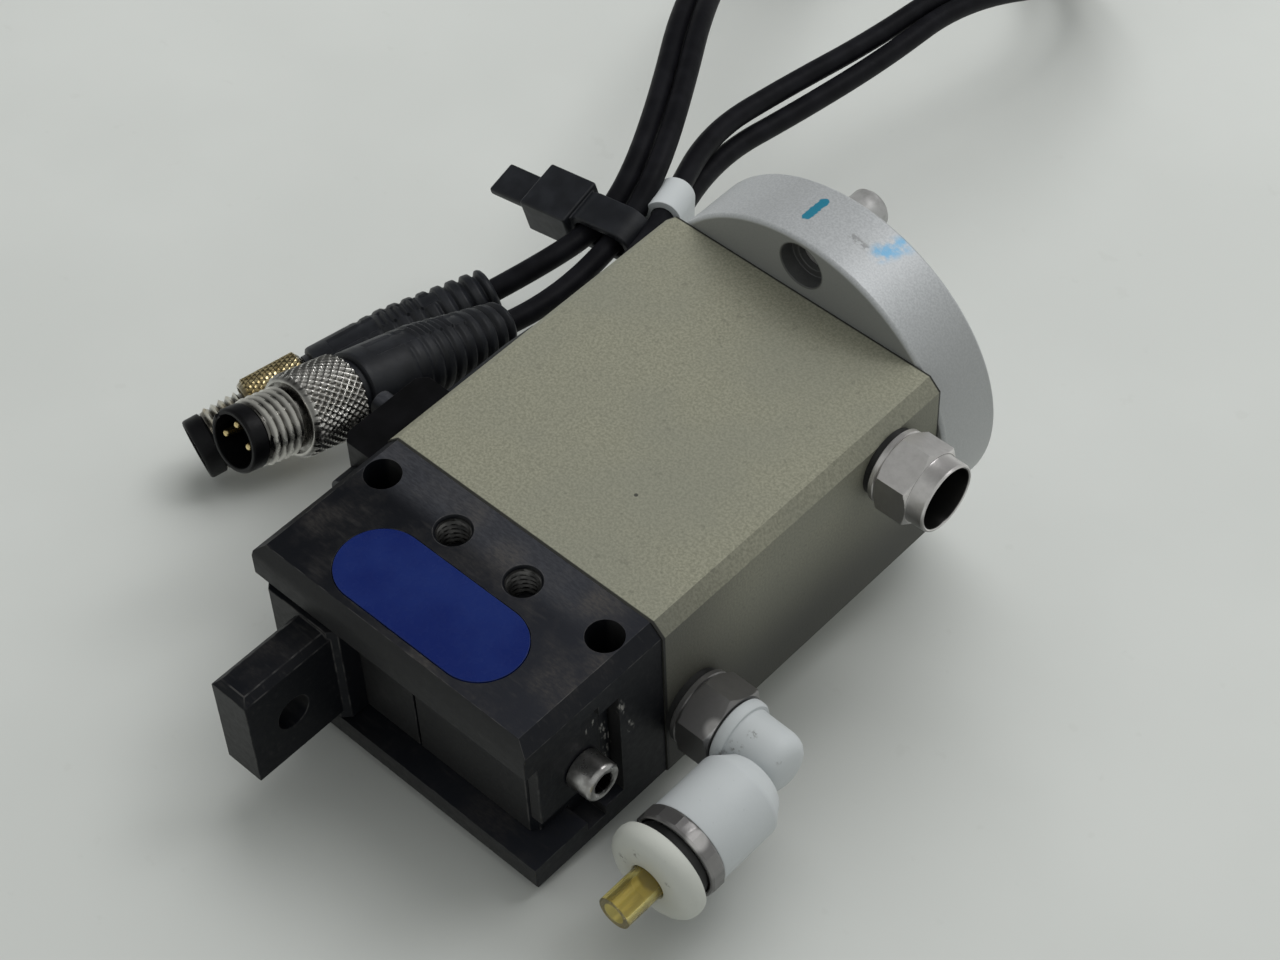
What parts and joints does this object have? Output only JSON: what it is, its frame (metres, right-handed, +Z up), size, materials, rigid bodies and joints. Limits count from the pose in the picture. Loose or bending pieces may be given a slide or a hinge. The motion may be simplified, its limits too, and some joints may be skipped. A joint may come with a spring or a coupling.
{
  "type": "parallel gripper",
  "caption": "Pneumatic parallel gripper: olive housing on a round flange, black guide base with sliding jaws and an eyed finger, air fittings and plugged position sensors.",
  "frame": {"origin": "centre of the mounting disc's rear face, where the gripper is bolted on", "axes": "+Y out of the disc's rear face towards the robot, jaws towards -Y, +X towards the air fittings, +Z up through the label face"},
  "size_m": [0.1126, 0.1903, 0.0561],
  "materials": {
    "olive_housing": "grainy hard anodised, matt",
    "black_steel": "blackened steel, rubbed at the edges",
    "blue_label": "printed film, bare",
    "silver_disc": "turned, matt anodised",
    "plain_steel": "ground",
    "nickel": "nickel plate, worn",
    "bronze": "plain bearing bronze",
    "seal": "moulded",
    "piston_alloy": "turned",
    "magnet": "sintered",
    "white_plastic": "moulded",
    "amber_tube": "clear tube gone amber",
    "black_plastic": "moulded",
    "cable_jacket": "extruded, matt",
    "gold": "gold flash"
  },
  "bodies": {
    "housing": {"cylinder_housing": "olive_housing", "guide_base": "black_steel", "base_screws": "black_steel", "sensor_bracket": "black_steel", "name_plate": "blue_label", "mounting_disc": "silver_disc", "disc_screws": "plain_steel", "locating_pin": "plain_steel", "right_spring": "plain_steel", "left_spring": "plain_steel", "bracket_screws": "plain_steel", "front_fitting": "nickel", "rear_fitting": "nickel", "rod_bush": "bronze", "rod_seal": "seal", "cover_seal": "seal", "front_gasket": "seal", "rear_gasket": "seal", "cylinder_cover": "piston_alloy", "cable_sleeve": "white_plastic", "upper_sensor": "black_plastic", "lower_sensor": "black_plastic", "cable_tie": "black_plastic", "near_plug": "black_plastic", "far_plug": "black_plastic", "lower_cable": "cable_jacket", "upper_cable": "cable_jacket", "near_pins": "gold", "far_pins": "gold"},
    "left_jaw_set": {"left_jaw": "black_steel", "left_finger": "black_steel", "left_screw": "plain_steel", "left_cam_pin": "plain_steel"},
    "right_jaw_set": {"right_jaw": "black_steel", "right_plate": "black_steel", "right_screw": "plain_steel", "right_cam_pin": "plain_steel"},
    "piston_set": {"piston": "piston_alloy", "piston_seal": "seal", "piston_magnet": "magnet", "piston_screw": "plain_steel", "piston_rod": "plain_steel", "wedge": "plain_steel"},
    "elbow_set": {"elbow": "white_plastic", "clamp_ring": "plain_steel", "tube_stub": "amber_tube"},
    "collar": {"release_collar": "white_plastic"},
    "near_ring": {"near_nut": "nickel"},
    "far_ring": {"far_nut": "nickel"}
  },
  "joints": [
    {"name": "piston_slide", "type": "slide", "parent": "housing", "child": "piston_set", "axis": [0, -1, 0], "range_m": [0, 0.008], "stiffness_N_per_m": 1500, "springref_m": -0.004, "deforming": ["right_spring", "left_spring"]},
    {"name": "left_jaw_slide", "type": "slide", "parent": "housing", "child": "left_jaw_set", "axis": [-1, 0, 0], "range_m": [0, 0.004]},
    {"name": "right_jaw_slide", "type": "slide", "parent": "housing", "child": "right_jaw_set", "axis": [1, 0, 0], "range_m": [0, 0.004]},
    {"name": "elbow_swivel", "type": "hinge", "parent": "housing", "child": "elbow_set", "pos_m": [0.0316, -0.0495, -0.003], "axis": [1, 0, 0], "continuous": true},
    {"name": "collar_press", "type": "slide", "parent": "elbow_set", "child": "collar", "axis": [0, 1, 0], "range_m": [0, 0.0012], "stiffness_N_per_m": 500},
    {"name": "near_nut_turn", "type": "hinge", "parent": "housing", "child": "near_ring", "pos_m": [-0.03403, -0.06329, 0.00954], "axis": [-0.0538, -0.959, 0.2784], "continuous": true},
    {"name": "far_nut_turn", "type": "hinge", "parent": "housing", "child": "far_ring", "pos_m": [-0.05104, -0.05739, -0.01017], "axis": [-0.3121, -0.9381, -0.1502], "continuous": true}
  ],
  "couplings": [
    {"joint": "left_jaw_slide", "follows": "piston_slide", "ratio": 0.5},
    {"joint": "right_jaw_slide", "follows": "piston_slide", "ratio": 0.5}
  ]
}
